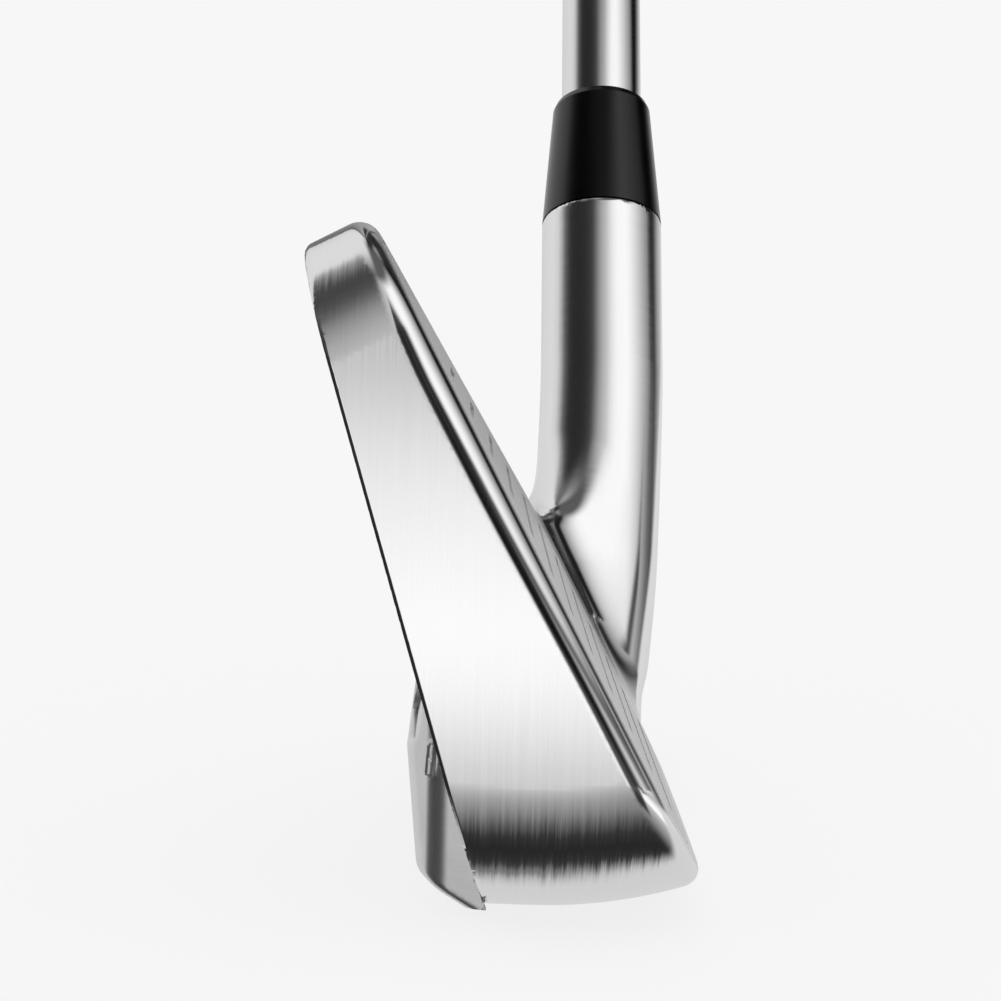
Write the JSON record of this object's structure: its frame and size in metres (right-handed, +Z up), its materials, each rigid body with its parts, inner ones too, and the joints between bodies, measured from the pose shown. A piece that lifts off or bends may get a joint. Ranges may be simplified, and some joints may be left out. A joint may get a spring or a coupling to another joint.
{
  "type": "iron golf club",
  "caption": "Right-handed golf iron at address: hollow steel head with bonded muscle plate, tapered black ferrule, stepped steel shaft and rubber grip.",
  "frame": {"origin": "the point on the ground under the face centre where the sole rests at address", "axes": "+X is the target direction the face looks along, +Y runs from toe to heel towards the golfer, +Z is up; the shaft rises in the YZ direction at the lie angle"},
  "size_m": [0.0418, 0.5125, 0.8515],
  "materials": {
    "polished_steel": "polished and brushed chrome-plated steel",
    "face_steel": "blasted satin steel with milled grooves",
    "satin_steel": "satin steel",
    "badge": "matt anodised, plain",
    "adhesive": "thin black adhesive film",
    "core_polymer": "soft cast polymer",
    "tungsten": "sintered tungsten",
    "ferrule_black": "gloss black",
    "epoxy": "cured epoxy",
    "shaft_chrome": "polished chrome",
    "band": "plain vinyl band with no text",
    "tape": "double-sided grip tape",
    "grip_rubber": "moulded rubber with a fine cut pattern",
    "cap_rubber": "moulded rubber"
  },
  "bodies": {
    "root": {"head_body": "polished_steel", "face_plate": "face_steel", "muscle_plate": "satin_steel", "back_badge": "badge", "plate_adhesive": "adhesive", "impact_core": "core_polymer", "toe_weight": "tungsten", "heel_weight": "tungsten", "ferrule": "ferrule_black", "hosel_epoxy": "epoxy", "shaft": "shaft_chrome", "shaft_band": "band", "grip_tape": "tape", "grip": "grip_rubber", "grip_cap": "cap_rubber"}
  },
  "joints": []
}
